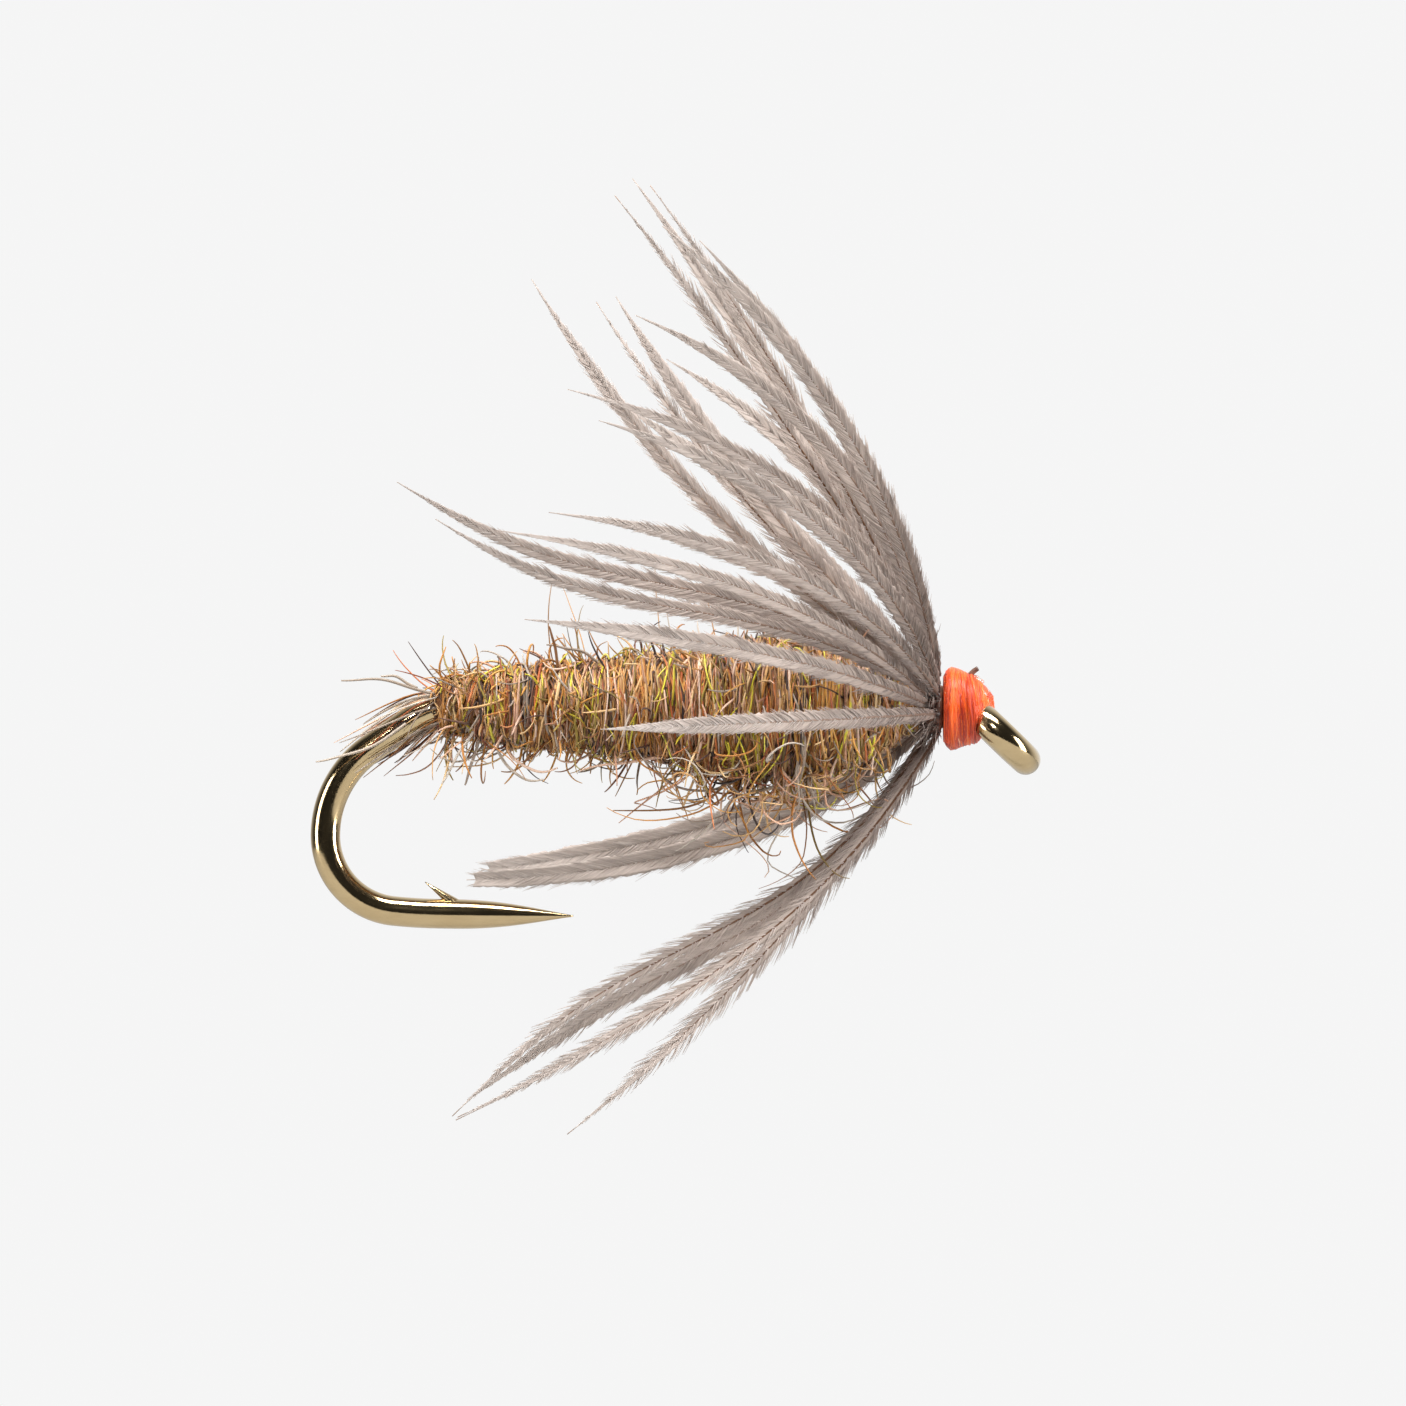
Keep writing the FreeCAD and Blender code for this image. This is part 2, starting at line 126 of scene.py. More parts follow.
def tubes(paths, radii, sides=3, flat=1.0, first=None):
    """Closed tapering tubes along many paths at once: vertices, faces and each face's path."""
    paths = np.asarray(paths, float)
    n, m = paths.shape[:2]
    radii = np.broadcast_to(np.asarray(radii, float), (n, m))
    along = norm(np.gradient(paths, axis=1))
    if first is None:
        first = np.eye(3)[np.argmin(np.abs(along[:, 0]), axis=1)]
    side = norm(np.cross(along[:, 0], np.cross(first, along[:, 0])))
    sides_at = [side]
    for k in range(1, m):
        side = norm(side - along[:, k] * np.sum(side * along[:, k], axis=1, keepdims=True))
        sides_at.append(side)
    one = np.stack(sides_at, 1)
    two = np.cross(along, one)
    a = TAU * np.arange(sides) / sides
    ring = (one[:, :, None] * np.cos(a)[None, None, :, None]
            + two[:, :, None] * (flat * np.sin(a))[None, None, :, None])
    verts = paths[:, :, None] + ring * radii[:, :, None, None]
    i = (np.arange(n) * m * sides)[:, None, None]
    r = (np.arange(m - 1) * sides)[None, :, None]
    k = np.arange(sides)[None, None, :]
    k2 = (k + 1) % sides
    quads = np.stack([i + r + k, i + r + k2, i + r + sides + k2, i + r + sides + k], -1).reshape(-1, 4)
    start = (np.arange(n) * m * sides)[:, None]
    low = start + np.arange(sides)[::-1][None, :]
    high = start + (m - 1) * sides + np.arange(sides)[None, :]
    faces = quads.tolist() + low.tolist() + high.tolist()
    owner = np.concatenate([np.repeat(np.arange(n), (m - 1) * sides), np.arange(n), np.arange(n)])
    return verts.reshape(-1, 3), faces, owner


def piece(name, verts, faces, mats, index=None, values=None):
    """A smooth mesh object in the row frame from millimetres."""
    me = bpy.data.meshes.new(name)
    me.from_pydata((np.asarray(verts) * MM).tolist(), [], faces)
    for m in mats:
        me.materials.append(m)
    if index is not None:
        me.polygons.foreach_set("material_index", np.asarray(index, np.int32))
    for key, data in (values or {}).items():
        att = me.attributes.new(key, "FLOAT", "POINT")
        att.data.foreach_set("value", np.asarray(data, np.float32))
    me.polygons.foreach_set("use_smooth", np.ones(len(me.polygons), bool))
    me.update()
    ob = bpy.data.objects.new(name, me)
    bpy.context.scene.collection.objects.link(ob)
    return ob


def join(parts):
    """Several (vertices, faces) pairs as one."""
    verts, faces, at = [], [], 0
    for v, f in parts:
        verts.append(np.asarray(v))
        faces += [[at + k for k in face] for face in f]
        at += len(v)
    return np.concatenate(verts), faces


def lathe(profile, centre, tilt=0.0, pivot=None, around=96, steps=40, bump=None):
    """Closed solid of revolution about a line along X at the height centre."""
    xs = np.array([p[0] for p in profile])
    rs = np.array([p[1] for p in profile])
    u = np.linspace(0, 1, steps)
    k = np.linspace(0, 1, len(xs))
    x = np.interp(u, k, xs)
    r = np.interp(u, k, rs)
    for _ in range(2):
        r[1:-1] = (r[:-2] + 2 * r[1:-1] + r[2:]) / 4
    a = TAU * np.arange(around) / around
    rad = r[:, None] * np.ones(around)[None]
    if bump is not None:
        rad = rad + bump(x[:, None], a[None, :])
    pts = np.stack([np.broadcast_to(x[:, None], rad.shape), -rad * np.cos(a), rad * np.sin(a)], -1)
    pts = np.concatenate([pts.reshape(-1, 3), [[x[0], 0, 0]], [[x[-1], 0, 0]]])
    faces = []
    for i in range(steps - 1):
        for j in range(around):
            j2 = (j + 1) % around
            faces.append([i * around + j, i * around + j2, (i + 1) * around + j2, (i + 1) * around + j])
    top = steps * around
    for j in range(around):
        j2 = (j + 1) % around
        faces.append([top, j2, j])
        faces.append([top + 1, (steps - 1) * around + j, (steps - 1) * around + j2])
    pts[:, 2] += centre
    if tilt:
        pts = tilted(pts, tilt, pivot)
    return pts, faces


def tilted(pts, deg, pivot):
    """Points turned about the Y direction through pivot (x, z)."""
    t = math.radians(deg)
    out = np.array(pts, float)
    x = out[..., 0] - pivot[0]
    z = out[..., 2] - pivot[1]
    out[..., 0] = pivot[0] + x * math.cos(t) + z * math.sin(t)
    out[..., 2] = pivot[1] - x * math.sin(t) + z * math.cos(t)
    return out


# ---- material helpers ----
def srgb(r, g, b):
    """Linear colour from 0-255 values."""
    out = []
    for c in (r, g, b):
        c /= 255.0
        out.append(c / 12.92 if c <= 0.04045 else ((c + 0.055) / 1.055) ** 2.4)
    return (*out, 1.0)


class Mat:
    """A material under construction."""

    def __init__(self, name):
        self.mat = bpy.data.materials.new(name)
        self.mat.use_nodes = True
        self.tree = self.mat.node_tree
        self.tree.nodes.clear()
        self.out = self.add("ShaderNodeOutputMaterial")

    def add(self, kind, **sockets):
        """A node of this kind, its inputs set by name, or by place as i0, i1."""
        node = self.tree.nodes.new(kind)
        for key, value in sockets.items():
            self.set(node, key, value)
        return node

    def set(self, node, key, value):
        """Link or set one input of a node."""
        place = key[0] == "i" and key[1:].isdigit()
        socket = node.inputs[int(key[1:]) if place else key.replace("_", " ")]
        if isinstance(value, bpy.types.NodeSocket):
            self.tree.links.new(value, socket)
        else:
            socket.default_value = value

    def noise(self, scale, detail=4.0, rough=0.6, stretch=None):
        """Noise in object space; scale in cells per metre."""
        coord = self.add("ShaderNodeTexCoord").outputs["Object"]
        if stretch:
            mapping = self.add("ShaderNodeMapping", Vector=coord, Scale=stretch)
            coord = mapping.outputs["Vector"]
        node = self.add("ShaderNodeTexNoise", Vector=coord, Scale=scale, Detail=detail, Roughness=rough)
        return node.outputs["Fac"]

    def value(self, name):
        """A number kept on the mesh's points."""
        node = self.add("ShaderNodeAttribute")
        node.attribute_name = name
        return node.outputs["Fac"]

    def ramp(self, fac, stops):
        """Colour at fac along (position, colour) stops."""
        node = self.add("ShaderNodeValToRGB", Fac=fac)
        el = node.color_ramp.elements
        while len(el) < len(stops):
            el.new(0.5)
        for e, (pos, col) in zip(el, stops):
            e.position = pos
            e.color = col
        return node.outputs["Color"]

    def mix(self, fac, a, b):
        """Colour a going over to b as fac goes from 0 to 1."""
        node = self.add("ShaderNodeMix")
        node.data_type = "RGBA"
        for key, value in (("Factor", fac), ("A", a), ("B", b)):
            want = "VALUE" if key == "Factor" else "RGBA"
            socket = [s for s in node.inputs if s.name == key and s.type == want][0]
            if isinstance(value, bpy.types.NodeSocket):
                self.tree.links.new(value, socket)
            else:
                socket.default_value = value
        return [s for s in node.outputs if s.type == "RGBA"][0]

    def math(self, op, a, b=0.5):
        """One sum on two values."""
        node = self.add("ShaderNodeMath", i0=a, i1=b)
        node.operation = op
        return node.outputs[0]

    def span(self, value, lo, hi):
        """value from 0..1 to lo..hi."""
        node = self.add("ShaderNodeMapRange", Value=value)
        node.inputs["To Min"].default_value = lo
        node.inputs["To Max"].default_value = hi
        return node.outputs["Result"]

    def bump(self, height, strength, distance):
        """Surface direction roughened by height; distance in metres."""
        return self.add("ShaderNodeBump", Height=height, Strength=strength,
                        Distance=distance).outputs["Normal"]

    def principled(self, **sockets):
        """The general surface shader."""
        return self.add("ShaderNodeBsdfPrincipled", **sockets)

    def finish(self, shader):
        """The material, with this shader as its surface."""
        self.tree.links.new(shader.outputs[0], self.out.inputs["Surface"])
        return self.mat


def bronze():
    """Lacquered bronze wire with faint drawn lines."""
    m = Mat("bronze_lacquer")
    broad = m.noise(900.0, 3.0)
    fine = m.noise(9000.0, 3.0, 0.7, (0.25, 1.0, 1.0))
    col = m.mix(broad, srgb(196, 170, 126), srgb(224, 202, 158))
    col = m.mix(m.span(fine, 0.0, 0.30), col, srgb(140, 114, 76))
    rough = m.span(fine, 0.06, 0.18)
    nor = m.bump(fine, 0.05, 0.00002)
    return m.finish(m.principled(Base_Color=col, Metallic=1.0, Roughness=rough, Normal=nor,
                                 Coat_Weight=0.35, Coat_Roughness=0.06))


def thread_mat():
    """Bright orange floss, turn by turn lighter or darker, with painted pale pink highlights and sheen.
    """
    m = Mat("waxed_orange_thread_painted_sheen")
    tone = m.value("tone")
    fine = m.noise(26000.0, 4.0, 0.7)
    # the turns' tone varies at random; the ramp's palest stop is a painted highlight, and the pale pink
    # the fine noise mixes in next is painted sheen
    col = m.ramp(tone, [(0.0, srgb(176, 38, 0)), (0.45, srgb(228, 74, 0)),
                        (0.85, srgb(248, 108, 10)), (1.0, srgb(255, 196, 156))])
    col = m.mix(m.span(fine, -0.25, 0.24), col, srgb(255, 192, 162))
    rough = m.span(fine, 0.26, 0.5)
    return m.finish(m.principled(Base_Color=col, Roughness=rough, Sheen_Weight=0.05,
                                 Coat_Weight=0.15, Coat_Roughness=0.25,
                                 Normal=m.bump(fine, 0.4, 0.00001)))


def shadow_mat():
    """Packed thread seen between the outer turns."""
    m = Mat("thread_shadow")
    fine = m.noise(18000.0, 4.0, 0.7)
    col = m.mix(fine, srgb(150, 34, 10), srgb(225, 70, 26))
    return m.finish(m.principled(Base_Color=col, Roughness=0.5, Normal=m.bump(fine, 0.6, 0.00002)))


def fur_mat(name, low, mid, high, rough=0.55):
    """One colour family of dubbing fibre, varied from fibre to fibre and along each."""
    m = Mat(name)
    tone = m.value("tone")
    fine = m.noise(14000.0, 3.0, 0.65)
    col = m.ramp(tone, [(0.0, srgb(*low)), (0.5, srgb(*mid)), (1.0, srgb(*high))])
    col = m.mix(m.span(fine, 0.0, 0.5), col, srgb(*low))
    return m.finish(m.principled(Base_Color=col, Roughness=m.span(fine, rough - 0.12, rough + 0.15),
                                 Specular_IOR_Level=0.45, Sheen_Weight=0.15))


def underfur_shade_mat():
    """Dense fur under the outer fibres, coloured dark brown as painted shade in the gaps between them.
    """
    m = Mat("packed_underfur_painted_shade")
    fine = m.noise(7000.0, 5.0, 0.7, (3.0, 1.0, 1.0))
    # these dark browns are painted shade: they show in the gaps between the outer fibres
    col = m.ramp(fine, [(0.25, srgb(54, 28, 8)), (0.5, srgb(104, 62, 20)), (0.75, srgb(146, 94, 38))])
    return m.finish(m.principled(Base_Color=col, Roughness=0.85,
                                 Normal=m.bump(fine, 0.8, 0.00006)))


def feather_shader(m, col, clear):
    """Dull, soft keratin that lets some light through."""
    body = m.principled(Base_Color=col, Roughness=0.6, Specular_IOR_Level=0.3, Sheen_Weight=0.35,
                        Sheen_Roughness=0.4)
    through = m.add("ShaderNodeBsdfTranslucent", Color=col)
    both = m.add("ShaderNodeMixShader", Fac=clear)
    m.tree.links.new(body.outputs[0], both.inputs[1])
    m.tree.links.new(through.outputs[0], both.inputs[2])
    return m.finish(both)


def hackle_mat(name, dark, light, glow, clear=0.32):
    """Barbules and stalks: colour from root to tip, varied from strand to strand."""
    m = Mat(name)
    along = m.value("along")
    tone = m.value("tone")
    fine = m.noise(9000.0, 3.0, 0.6)
    base = m.ramp(along, [(0.0, srgb(*dark)), (0.45, srgb(*light)), (1.0, srgb(*glow))])
    col = m.mix(m.span(tone, 0.0, 0.40), base, srgb(*dark))
    col = m.mix(m.span(fine, 0.0, 0.25), col, srgb(*dark))
    return feather_shader(m, col, clear)


def vane_mat():
    """The web of a barb: fine streaks run out from its stalk toward the tip."""
    m = Mat("hackle_vane")
    along = m.value("along")
    across = m.value("across")
    far = m.math("ABSOLUTE", across)
    sweep = m.math("SUBTRACT", m.math("MULTIPLY", along, 150.0), m.math("MULTIPLY", far, 6.0))
    place = m.add("ShaderNodeCombineXYZ", X=sweep, Y=m.math("MULTIPLY", across, 1.3),
                  Z=m.value("tone"))
    streak = m.add("ShaderNodeTexNoise", Vector=place.outputs[0], Scale=1.0, Detail=3.0,
                   Roughness=0.7).outputs["Fac"]
    base = m.ramp(along, [(0.0, srgb(154, 136, 127)), (0.12, srgb(192, 174, 163)),
                          (0.45, srgb(226, 211, 201)), (1.0, srgb(228, 217, 209))])
    col = m.mix(m.span(streak, -0.35, 0.95), base, srgb(120, 99, 87))
    spine = m.ramp(far, [(0.0, (1, 1, 1, 1)), (0.16, (0.25, 0.25, 0.25, 1)), (0.4, (0, 0, 0, 1))])
    fades = m.ramp(along, [(0.6, (0.45, 0.45, 0.45, 1)), (0.85, (0, 0, 0, 1))])
    col = m.mix(m.math("MULTIPLY", spine, fades), col, srgb(134, 106, 88))
    return feather_shader(m, col, 0.34)


def stem_mat():
    """Bare brown stem of the feather."""
    m = Mat("hackle_stem")
    along = m.noise(6000.0, 4.0, 0.6)
    col = m.ramp(along, [(0.3, srgb(70, 46, 38)), (0.6, srgb(126, 88, 70)), (0.8, srgb(176, 140, 120))])
    return m.finish(m.principled(Base_Color=col, Roughness=0.42, Normal=m.bump(along, 0.4, 0.00002)))


# ---- hook ----
def heading(deg):
    """Direction in the hook's plane, in degrees up from +X."""
    a = math.radians(deg)
    return np.array([math.cos(a), 0.0, math.sin(a)])


def hook_line():
    """Centre line and radius from the eye's ring to the tip, and the point's start and heading."""
    t = math.radians(EYE_TILT)
    z = SHANK_Z - NECK_R * (1 - math.cos(t))
    pts = []
    start_x = -z / math.tan(t) - NECK_R * math.sin(t)
    for a in np.linspace(EYE_TILT, 0, 14):
        q = math.radians(a)
        pts.append([start_x + NECK_R * math.sin(q), 0, SHANK_Z - NECK_R * (1 - math.cos(q))])
    for x in np.linspace(start_x, BEND_START_X, 40)[1:]:
        pts.append([x, 0, SHANK_Z])
    at = np.array(pts[-1])
    ang = 180.0
    for kind, size, turn in BEND:
        if kind == "line":
            n = max(2, int(size / 0.1))
            for k in range(1, n + 1):
                pts.append(at + heading(ang) * size * k / n)
        else:
            centre = at + heading(ang + 90) * size
            n = max(6, int(turn / 2.5))
            for k in range(1, n + 1):
                pts.append(centre + heading(ang - 90 + turn * k / n) * size)
            ang += turn
        at = np.array(pts[-1])
    rad = [WIRE_R] * len(pts)
    us = [p[0] for p in POINT_PROFILE]
    rs = [p[1] for p in POINT_PROFILE]
    fit = np.polyfit(us, rs, 4)
    for u in np.linspace(0, 1, 26)[1:]:
        pts.append(at + heading(ang) * POINT_LENGTH * u)
        rad.append(WIRE_R * float(np.clip(np.polyval(fit, u), 0.04, 1.0)))
    return np.array(pts, float), np.array(rad), at, ang


def hook_barb(at, ang):
    """Sliver of wire lifted toward the bend."""
    along = heading(ang)
    up = heading(ang + 90)
    y = np.array([0.0, 1.0, 0.0])
    steps, sides = 14, 12
    rows = []
    for u in np.linspace(0, 1, steps):
        thick = 0.27 * (1 - u) ** 0.9 + 0.014
        wide = 0.17 * (1 - u) ** 0.6 + 0.010
        foot = 0.14 - 0.67 * u + 0.05 * math.sin(math.pi * u)
        rise = WIRE_R - 0.09 + 0.39 * u ** 1.25 - thick * 0.3
        centre = at + along * foot + up * rise
        for k in range(sides):
            a = TAU * k / sides
            rows.append(centre + y * wide * math.cos(a)
                        + (up * 0.75 + along * 0.66) * thick * 0.5 * math.sin(a))
    faces = []
    for low in range(0, (steps - 1) * sides, sides):
        for k in range(sides):
            k2 = (k + 1) % sides
            faces.append([low + k, low + k2, low + sides + k2, low + sides + k])
    faces.append(list(range(sides))[::-1])
    faces.append([(steps - 1) * sides + k for k in range(sides)])
    return np.array(rows), faces


def ring_mesh():
    """The eye: a torus with a short straight land inside."""
    t = math.radians(EYE_TILT)
    n = np.array([math.sin(t), 0, math.cos(t)])
    d = np.array([math.cos(t), 0, -math.sin(t)])
    y = np.array([0.0, 1.0, 0.0])
    big, small = 96, 40
    verts = []
    for i in range(big):
        a = TAU * i / big
        out = d * math.cos(a) + y * math.sin(a)
        for j in range(small):
            b = TAU * j / small
            r = max(EYE_BORE_R, EYE_MEAN_R + EYE_WIRE_R * math.cos(b))
            verts.append(out * r + n * EYE_WIRE_R * math.sin(b))
    faces = []
    for i in range(big):
        for j in range(small):
            i2, j2 = (i + 1) % big, (j + 1) % small
            faces.append([i * small + j, i2 * small + j, i2 * small + j2, i * small + j2])
    return np.array(verts), faces


def make_hook():
    """The bent wire with its eye and barb."""
    pts, rad, at, ang = hook_line()
    v, f, _ = tubes(pts[None], rad[None], 48, first=np.array([[0.0, 1.0, 0.0]]))
    v, f = join([(v, f), ring_mesh(), hook_barb(at, ang)])
    ob = piece("hook_polished", v, f, [bronze()])
    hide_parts("hook")
    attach(ob, BODY)


# ---- dubbed body ----
# x where the wound fibres end, at the rear and at the front
BODY_ENDS = (-10.2, -1.46)
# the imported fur's radius against the body's
CORE_SHARE = 0.86


def body_radius(x):
    """Radius of the wound fur at x."""
    prof = np.array(ABDOMEN + THORAX[1:])
    return np.interp(x, prof[:, 0], prof[:, 1])


def lumps(x, a):
    """Uneven windings of the dubbing rope."""
    phase = TAU * x / 0.40 - a + 0.9 * np.sin(1.7 * x)
    return 0.042 * np.sin(phase) + 0.022 * np.sin(3.1 * x + 2 * a) + 0.015 * np.sin(7.7 * x - 3 * a)


def make_core():
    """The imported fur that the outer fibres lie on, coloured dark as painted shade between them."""
    prof = [(x, r * CORE_SHARE) for x, r in ABDOMEN + THORAX[1:]]
    v, f = lathe(prof, SHANK_Z, around=72, steps=150, bump=lumps)
    ob = piece("dubbing_core", v, f, [underfur_shade_mat()])
    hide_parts("dubbing_abdomen", "dubbing_thorax", "thread_underwrap")
    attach(ob, BODY)


def fur_families():
    """The colours of fur mixed in the dubbing."""
    return [
        fur_mat("fur_tan", (122, 76, 30), (208, 158, 94), (240, 206, 152)),
        fur_mat("fur_gold", (104, 54, 8), (196, 128, 38), (234, 178, 84)),
        fur_mat("fur_rust", (106, 44, 10), (196, 100, 36), (234, 152, 86)),
        fur_mat("fur_pink", (142, 92, 62), (226, 178, 146), (246, 218, 196)),
        fur_mat("fur_olive", (70, 52, 12), (146, 116, 34), (184, 158, 66)),
        fur_mat("fur_dark", (34, 15, 6), (74, 38, 18), (124, 80, 56)),
        fur_mat("fur_grey", (124, 106, 92), (180, 164, 146), (216, 204, 190)),
        fur_mat("fur_yellow", (170, 150, 10), (218, 204, 36), (240, 232, 92), 0.4),
    ]


# share of each colour, in the same order
FUR_SHARE = np.array([0.30, 0.27, 0.07, 0.13, 0.07, 0.10, 0.02, 0.04])


def family_at(x, a, n):
    """Colour family of each fibre, in loose patches along and around the body."""
    patch = np.stack([np.sin(3.4 * x * (0.7 + 0.45 * k) + a * (k % 3 - 1) + 1.7 * k * k)
                      for k in range(len(FUR_SHARE))])
    weight = FUR_SHARE[:, None] * np.exp(1.25 * patch)
    weight /= weight.sum(0)
    pick = RNG.random(n)
    return (np.cumsum(weight, 0) < pick).sum(0).clip(0, len(FUR_SHARE) - 1)


def wound_fibres(name, lo, hi, count, mats):
    """Fur wound round the shank, most of it lying down, its ends lifting."""
    dense = np.linspace(lo, hi, 400)
    w = body_radius(dense)
    x0 = np.interp(RNG.random(count), np.cumsum(w) / w.sum(), dense)
    a0 = RNG.random(count) * TAU
    span = np.radians(RNG.uniform(45, 165, count)) * np.where(RNG.random(count) < 0.5, 1, -1)
    m = 10
    t = np.linspace(0, 1, m)[None]
    tilt = RNG.normal(0, 0.16, count)
    wig = RNG.normal(0, 0.035, (count, 1)) * np.sin(TAU * t * RNG.uniform(0.7, 1.8, (count, 1))
                                                    + RNG.random((count, 1)) * 6)
    r0 = body_radius(x0)
    a = a0[:, None] + span[:, None] * t
    x = x0[:, None] + tilt[:, None] * r0[:, None] * span[:, None] * (t - 0.5) + wig
    x = np.clip(x, *BODY_ENDS)
    level = RNG.beta(1.6, 1.2, (count, 1)) * 0.20 + 0.82
    lift = np.where(RNG.random((count, 1)) < 0.30, RNG.uniform(0.03, 0.22, (count, 1)), 0.0)
    rad = body_radius(x) * level + lumps(x, a) * 0.8 + lift * t ** 3
    rad += 0.012 * np.sin(9 * t + RNG.random((count, 1)) * 6)
    p = np.stack([x, -rad * np.cos(a), SHANK_Z + rad * np.sin(a)], -1)
    thick = (0.014 + 0.022 * RNG.random((count, 1)) ** 1.4) * (1 - 0.6 * t ** 4)
    thick = thick * (0.5 + 0.5 * np.minimum(1, t * 6))
    v, f, owner = tubes(p, thick, 3)
    fam = family_at(x0, a0, count)
    tone = np.repeat(RNG.random(count), m * 3)
    ob = piece(name, v, f, mats, fam[owner], {"tone": tone})
    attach(ob, BODY)


def curls(count, x_lo, x_hi, a_lo, a_hi, length, bend, out, m=16, thick=(0.013, 0.024)):
    """Paths and radii of loose fibres: they leave the body between the angles a and wander."""
    x = RNG.uniform(x_lo, x_hi, count)
    a = np.radians(RNG.uniform(a_lo, a_hi, count))
    r = body_radius(x) * 0.9
    radial = np.stack([np.zeros(count), -np.cos(a), np.sin(a)], -1)
    ring = np.stack([np.zeros(count), np.sin(a), np.cos(a)], -1)
    p = np.stack([x, np.zeros(count), np.full(count, SHANK_Z)], -1) + radial * r[:, None]
    d = norm(radial * RNG.uniform(out[0], out[1], (count, 1)) + ring * RNG.normal(0, 0.8, (count, 1))
             + np.array([-1.0, 0, 0]) * RNG.uniform(0.0, 1.1, (count, 1)))
    axis = norm(RNG.normal(size=(count, 3)))
    size = RNG.uniform(length[0], length[1], count)
    rate = RNG.uniform(bend[0], bend[1], count) * np.where(RNG.random(count) < 0.5, 1, -1)
    step = size / (m - 1)
    pts = [p]
    for _ in range(m - 1):
        ang = (rate * step * RNG.uniform(0.3, 1.7, count))[:, None]
        d = norm(d + np.cross(axis, d) * ang)
        axis = norm(axis + RNG.normal(0, 0.12, (count, 3)))
        p = p + d * step[:, None]
        pts.append(p)
    path = np.stack(pts, 1)
    t = np.linspace(0, 1, m)[None]
    rad = RNG.uniform(thick[0], thick[1], (count, 1)) * (1 - 0.6 * t ** 3)
    return path, rad


def loose_piece(name, sets, mats, share, nodes):
    """Sets of loose fibres as one piece, each fibre of a colour drawn by its share."""
    parts, index, tone = [], [], []
    for path, rad in sets:
        v, f, owner = tubes(path, rad, 4)
        n, m = path.shape[:2]
        index.append(RNG.choice(len(mats), n, p=share)[owner])
        tone.append(np.repeat(RNG.random(n), m * 4))
        parts.append((v, f))
    v, f = join(parts)
    ob = piece(name, v, f, mats, np.concatenate(index), {"tone": np.concatenate(tone)})
    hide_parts(*nodes)
    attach(ob, BODY)


# share of each colour among the loose fibres, and among those at the tail
LOOSE_SHARE = np.array([0.32, 0.22, 0.03, 0.11, 0.06, 0.07, 0.17, 0.02])
TAIL_SHARE = np.array([0.24, 0.12, 0.04, 0.16, 0.02, 0.16, 0.26, 0.0])


def make_body(mats):
    """Packed fur, wound fibres, and the loose ones over, under and beside them."""
    make_core()
    wound_fibres("abdomen_fur", -10.15, -5.6, 2200, mats)
    wound_fibres("thorax_fur", -5.6, -1.5, 2600, mats)
    top = [
        curls(90, -10.0, -5.0, 40, 140, (0.35, 1.0), (1.0, 4.0), (0.4, 1.3)),
        curls(60, -5.4, -1.8, 30, 150, (0.3, 0.9), (1.0, 4.0), (0.4, 1.3)),
        curls(7, -8.5, -3.5, 60, 110, (1.2, 2.0), (0.3, 0.9), (1.2, 2.0), thick=(0.009, 0.012)),
    ]
    loose_piece("guard_hair_top", top, mats, LOOSE_SHARE, ["guard_hairs_top"])
    under = [
        curls(80, -9.9, -6.0, 215, 325, (0.35, 1.1), (1.0, 4.0), (0.4, 1.3)),
        curls(190, -5.7, -2.0, 215, 325, (0.6, 2.0), (1.6, 4.6), (0.7, 1.6)),
        curls(60, -5.6, -2.8, 240, 300, (1.5, 3.0), (1.4, 3.4), (1.1, 2.0)),
        curls(14, -5.0, -3.4, 250, 290, (2.2, 3.2), (0.5, 1.5), (1.4, 2.2)),
        curls(14, -9.2, -5.5, 245, 295, (1.0, 2.0), (0.8, 2.4), (0.6, 1.3)),
    ]
    loose_piece("guard_hair_under", under, mats, LOOSE_SHARE, ["guard_hairs_under"])
    side = [
        curls(160, -9.8, -1.9, -50, 50, (0.3, 0.9), (0.5, 2.4), (0.2, 0.8)),
        curls(80, -9.8, -1.9, 130, 230, (0.3, 0.9), (0.5, 2.4), (0.2, 0.8)),
    ]
    loose_piece("guard_hair_side", side, mats, LOOSE_SHARE, [])


def make_flash(mat):
    """Bright yellow strands wound with the fur and looping out of it."""
    n, m = 46, 18
    t = np.linspace(0, 1, m)[None]
    x0 = RNG.uniform(-9.8, -2.0, (n, 1))
    run = RNG.uniform(-0.9, 0.9, (n, 1))
    a = np.radians(RNG.uniform(0, 360, (n, 1))) + RNG.uniform(0.5, 1.8, (n, 1)) * t
    x = np.clip(x0 + run * t + 0.05 * np.sin(8 * t + x0), -10.1, -1.5)
    rad = body_radius(x) + 0.02 + RNG.uniform(0.0, 0.16, (n, 1)) * np.sin(np.pi * t)
    p = np.stack([x, -rad * np.cos(a), SHANK_Z + rad * np.sin(a)], -1)
    v, f, _ = tubes(p, RNG.uniform(0.011, 0.018, (n, 1)), 4)
    ob = piece("flash_strands", v, f, [mat], values={"tone": np.repeat(RNG.random(n), m * 4)})
    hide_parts("flash_fibres")
    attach(ob, BODY)


def bend_point(s):
    """Middle of the wire and its lean at a distance s past the start of the bend."""
    r, most = BEND[0][1], math.radians(BEND[0][2])
    a = np.minimum(s / r, most)
    left = np.maximum(0, s - r * most)
    x = BEND_START_X - r * np.sin(a) - left * math.cos(most)
    z = SHANK_Z - r * (1 - np.cos(a)) - left * math.sin(most)
    return x, z, a


